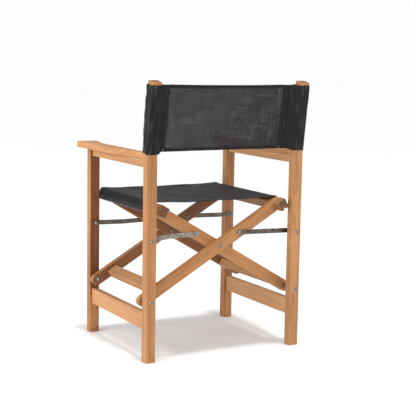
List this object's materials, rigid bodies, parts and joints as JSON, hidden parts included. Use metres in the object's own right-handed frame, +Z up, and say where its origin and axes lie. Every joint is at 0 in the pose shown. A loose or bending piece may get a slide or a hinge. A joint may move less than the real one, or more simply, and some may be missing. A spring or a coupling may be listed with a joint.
{
  "type": "folding chair",
  "caption": "Folding wooden armchair with crossed bars under a slung fabric seat, flat arms and a fabric back stretched between two posts.",
  "frame": {"origin": "middle of the box around the open chair, on the floor", "axes": "+Z up, the sitter faces -Y, +X is the sitter's left"},
  "size_m": [0.592, 0.5364, 0.863],
  "materials": {
    "oiled_teak": "oiled teak, satin, light orange brown with darker end grain",
    "zinc_steel": "dull zinc plated steel",
    "woven_mesh": "matte open weave of coated yarn, dark grey",
    "plain_webbing": "matte closely woven black polyester"
  },
  "bodies": {
    "left_side": {"left_rear_post": "oiled_teak", "left_front_leg": "oiled_teak", "left_armrest": "oiled_teak", "left_apron": "oiled_teak", "left_side_rail": "oiled_teak", "left_back_sleeve": "plain_webbing", "left_rear_pivot_spacer": "zinc_steel", "left_rear_link_spacer": "zinc_steel", "left_rear_pivot_bolt": "zinc_steel", "left_rear_pivot_nut": "zinc_steel", "left_rear_link_bolt": "zinc_steel", "left_front_pivot_spacer": "zinc_steel", "left_front_link_spacer": "zinc_steel", "left_front_pivot_bolt": "zinc_steel", "left_front_pivot_nut": "zinc_steel", "left_front_link_bolt": "zinc_steel", "back_panel": "woven_mesh"},
    "outer_scissor": {"outer_rear_bar": "oiled_teak", "outer_front_bar": "oiled_teak", "outer_stretcher": "oiled_teak", "outer_seat_rail": "oiled_teak", "outer_sling_rod": "oiled_teak", "outer_front_link_stud": "zinc_steel", "centre_rear_bolt": "zinc_steel", "centre_rear_nut": "zinc_steel", "centre_front_bolt": "zinc_steel", "centre_front_nut": "zinc_steel", "seat_sling": "woven_mesh"},
    "inner_scissor": {"inner_rear_bar": "oiled_teak", "inner_front_bar": "oiled_teak", "inner_stretcher": "oiled_teak", "inner_seat_rail": "oiled_teak", "inner_sling_rod": "oiled_teak", "inner_front_link_stud": "zinc_steel"},
    "right_side": {"right_rear_post": "oiled_teak", "right_front_leg": "oiled_teak", "right_armrest": "oiled_teak", "right_apron": "oiled_teak", "right_side_rail": "oiled_teak", "right_back_sleeve": "plain_webbing", "right_rear_pivot_spacer": "zinc_steel", "right_rear_link_spacer": "zinc_steel", "right_rear_pivot_bolt": "zinc_steel", "right_rear_pivot_nut": "zinc_steel", "right_rear_link_bolt": "zinc_steel", "right_front_pivot_spacer": "zinc_steel", "right_front_link_spacer": "zinc_steel", "right_front_pivot_bolt": "zinc_steel", "right_front_pivot_nut": "zinc_steel", "right_front_link_bolt": "zinc_steel"},
    "left_rear_link": {"left_rear_link": "zinc_steel", "left_rear_link_rivet": "zinc_steel"},
    "left_front_link": {"left_front_link": "zinc_steel", "left_front_link_rivet": "zinc_steel"},
    "right_rear_link": {"right_rear_link": "zinc_steel", "right_rear_link_rivet": "zinc_steel"},
    "right_front_link": {"right_front_link": "zinc_steel", "right_front_link_rivet": "zinc_steel"}
  },
  "joints": [
    {"name": "fold", "type": "hinge", "parent": "left_side", "child": "outer_scissor", "pos_m": [0.26, 0.00946, 0.188], "axis": [0, 1, 0], "range_deg": [0, 41.7], "deforming": ["back_panel"]},
    {"name": "crossing", "type": "hinge", "parent": "outer_scissor", "child": "inner_scissor", "pos_m": [0, 0.00946, 0.34], "axis": [0, 1, 0], "range_deg": [-95.4, 0], "deforming": ["seat_sling"]},
    {"name": "right_frame_pivot", "type": "hinge", "parent": "inner_scissor", "child": "right_side", "pos_m": [-0.26, 0.00946, 0.188], "axis": [0, 1, 0], "range_deg": [0, 41.7]},
    {"name": "left_rear_link_pivot", "type": "hinge", "parent": "left_side", "child": "left_rear_link", "pos_m": [0.26, 0.00946, 0.3766], "axis": [0, 1, 0], "range_deg": [0, 63.5]},
    {"name": "left_front_link_pivot", "type": "hinge", "parent": "left_side", "child": "left_front_link", "pos_m": [0.26, 0.00946, 0.3766], "axis": [0, 1, 0], "range_deg": [0, 63.5]},
    {"name": "right_rear_link_pivot", "type": "hinge", "parent": "right_side", "child": "right_rear_link", "pos_m": [-0.26, 0.00946, 0.3766], "axis": [0, 1, 0], "range_deg": [-63.5, 0]},
    {"name": "right_front_link_pivot", "type": "hinge", "parent": "right_side", "child": "right_front_link", "pos_m": [-0.26, 0.00946, 0.3766], "axis": [0, 1, 0], "range_deg": [-63.5, 0]}
  ],
  "couplings": [
    {"joint": "crossing", "follows": "fold", "ratio": -2.2857},
    {"joint": "right_frame_pivot", "follows": "fold", "ratio": 1},
    {"joint": "left_rear_link_pivot", "follows": "fold", "ratio": 1.52},
    {"joint": "left_front_link_pivot", "follows": "fold", "ratio": 1.52},
    {"joint": "right_rear_link_pivot", "follows": "fold", "ratio": -1.52},
    {"joint": "right_front_link_pivot", "follows": "fold", "ratio": -1.52}
  ]
}
